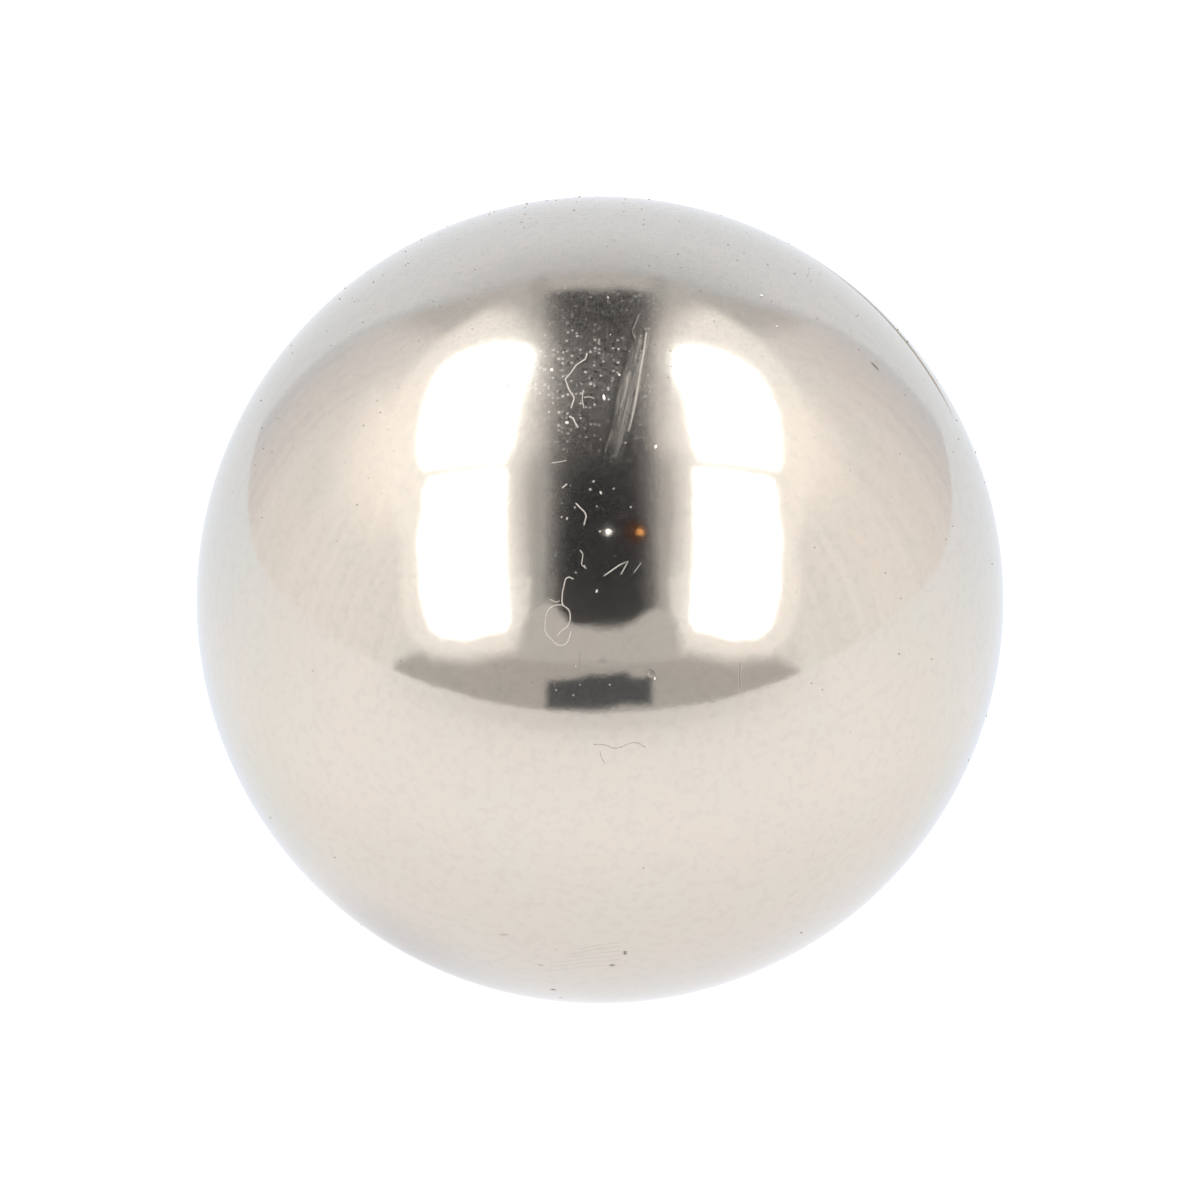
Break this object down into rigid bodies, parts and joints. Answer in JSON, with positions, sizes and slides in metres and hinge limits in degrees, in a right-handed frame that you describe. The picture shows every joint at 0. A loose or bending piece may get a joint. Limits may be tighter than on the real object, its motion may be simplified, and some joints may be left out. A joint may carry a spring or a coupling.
{
  "type": "sphere magnet",
  "caption": "Small plain ball magnet, ground round and nickel plated all over, that clings to steel, to other magnets, or through a sheet of paper.",
  "frame": {"origin": "centre of the ball", "axes": "+Z along the magnetic axis, from the south pole at the bottom to the north pole at the top; X and Y are free, because the ball is round about Z"},
  "size_m": [0.01, 0.01, 0.01],
  "materials": {
    "nickel_plate": "bright nickel plate over a ground ball, faintly warm, softly blurred, with fine lap lines, scuffs and pits"
  },
  "bodies": {
    "root": {"ball": "nickel_plate"}
  },
  "joints": []
}
